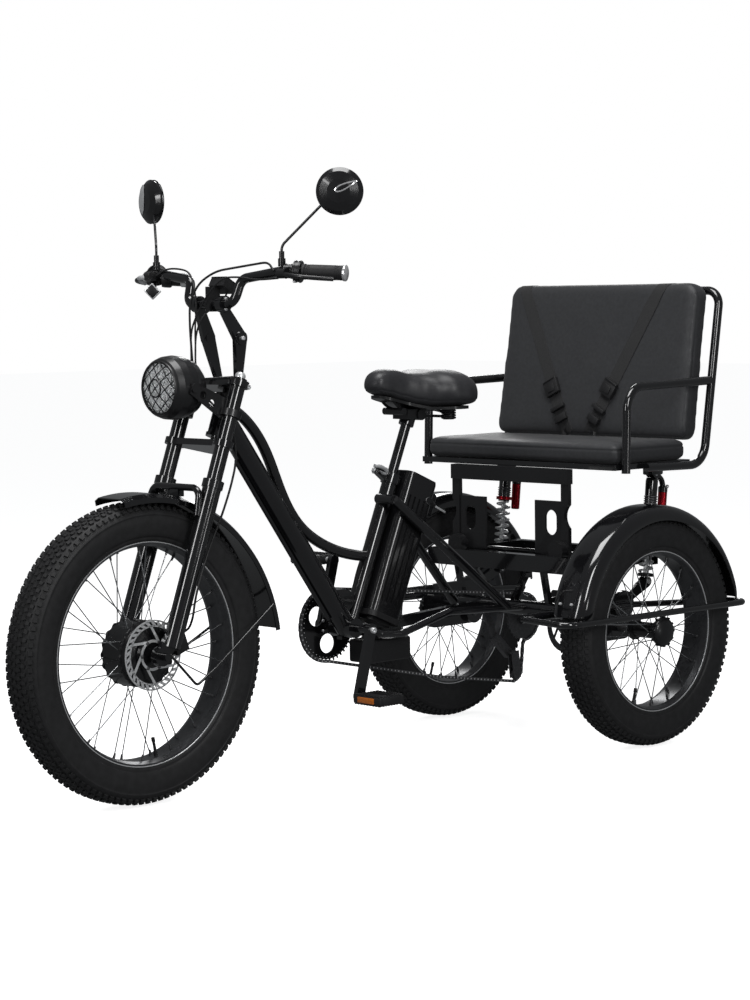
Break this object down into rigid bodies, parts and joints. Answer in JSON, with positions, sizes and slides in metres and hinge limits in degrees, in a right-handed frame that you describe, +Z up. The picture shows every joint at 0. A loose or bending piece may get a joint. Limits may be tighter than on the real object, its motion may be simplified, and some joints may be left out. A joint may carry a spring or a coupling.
{
  "type": "electric fat tire tricycle",
  "caption": "Electric tricycle with wide knobbly tyres, step-through frame, sprung saddle, round headlamp, mudguards and a cushioned two-seat bench over the rear axle.",
  "frame": {"origin": "on the ground at the middle of the footprint", "axes": "+Z up, +Y toward the rear of the tricycle (it faces -Y), +X toward the rider's left"},
  "size_m": [0.872, 2.02, 1.423],
  "materials": {
    "frame_paint": "gloss black powder coat",
    "gloss_plastic": "gloss black plastic",
    "grip_rubber": "matt black rubber",
    "leatherette": "charcoal vinyl with a fine grain",
    "lens": "clear lens",
    "plastic": "matt black plastic",
    "rim": "satin black",
    "steel": "bare brushed steel",
    "tyre": "matt black rubber",
    "webbing": "black webbing"
  },
  "bodies": {
    "frame": {"arm_tubes": "frame_paint", "axle_beam": "frame_paint", "back_tube": "frame_paint", "backrest_cushion": "leatherette", "battery_case": "gloss_plastic", "battery_cradle": "plastic", "bench_base": "frame_paint", "bench_cushion": "leatherette", "bench_support": "frame_paint", "chain": "steel", "chainstays": "frame_paint", "control_box": "plastic", "derailleur": "steel", "diagonal_stays": "frame_paint", "down_tube": "frame_paint", "fender_bars": "frame_paint", "fender_left": "frame_paint", "fender_right": "frame_paint", "head_tube": "frame_paint", "rear_caliper": "frame_paint", "rear_platform": "frame_paint", "saddle_base": "plastic", "saddle_cushion": "leatherette", "seat_belts": "webbing", "seat_tube": "frame_paint", "seatpost": "frame_paint", "shocks": "frame_paint", "top_tube": "frame_paint"},
    "fork": {"fork_leg_left": "frame_paint", "fork_leg_right": "frame_paint", "fork_crowns": "frame_paint", "fork_arch": "frame_paint", "handlebar": "frame_paint", "bar_risers": "frame_paint", "grips": "grip_rubber", "brake_levers": "frame_paint", "mirrors": "plastic", "bell": "plastic", "display": "plastic", "headlamp": "plastic", "headlamp_lens": "lens", "front_fender": "frame_paint", "front_caliper": "frame_paint", "front_brake_hose": "grip_rubber"},
    "front_wheel": {"front_tyre": "tyre", "front_rim": "rim", "front_hub_motor": "rim", "front_rotor": "steel"},
    "rear_wheel_left": {"rear_tyre_left": "tyre", "rear_rim_left": "rim", "rear_hub_left": "rim", "rear_shaft": "steel"},
    "rear_wheel_right": {"rear_tyre_right": "tyre", "rear_rim_right": "rim", "rear_hub_right": "rim", "rear_axle_right": "steel"},
    "crank": {"crankset": "frame_paint"},
    "pedal_left": {"pedal_left": "plastic"},
    "pedal_right": {"pedal_right": "plastic"}
  },
  "joints": [
    {"name": "steering", "type": "hinge", "parent": "frame", "child": "fork", "pos_m": [0, -0.592, 0.345], "axis": [0, 0.342, 0.9397], "range_deg": [-40, 40]},
    {"name": "front_axle", "type": "hinge", "parent": "fork", "child": "front_wheel", "pos_m": [0, -0.665, 0.345], "axis": [1, 0, 0], "continuous": true},
    {"name": "rear_axle_left", "type": "hinge", "parent": "frame", "child": "rear_wheel_left", "pos_m": [0.356, 0.686, 0.293], "axis": [1, 0, 0], "continuous": true},
    {"name": "rear_axle_right", "type": "hinge", "parent": "frame", "child": "rear_wheel_right", "pos_m": [-0.356, 0.686, 0.293], "axis": [1, 0, 0], "continuous": true},
    {"name": "crank_spindle", "type": "hinge", "parent": "frame", "child": "crank", "pos_m": [0, -0.018, 0.34], "axis": [1, 0, 0], "continuous": true},
    {"name": "pedal_axle_left", "type": "hinge", "parent": "crank", "child": "pedal_left", "pos_m": [0.15, -0.05941, 0.18545], "axis": [1, 0, 0], "continuous": true},
    {"name": "pedal_axle_right", "type": "hinge", "parent": "crank", "child": "pedal_right", "pos_m": [-0.15, 0.02341, 0.49455], "axis": [1, 0, 0], "continuous": true}
  ]
}
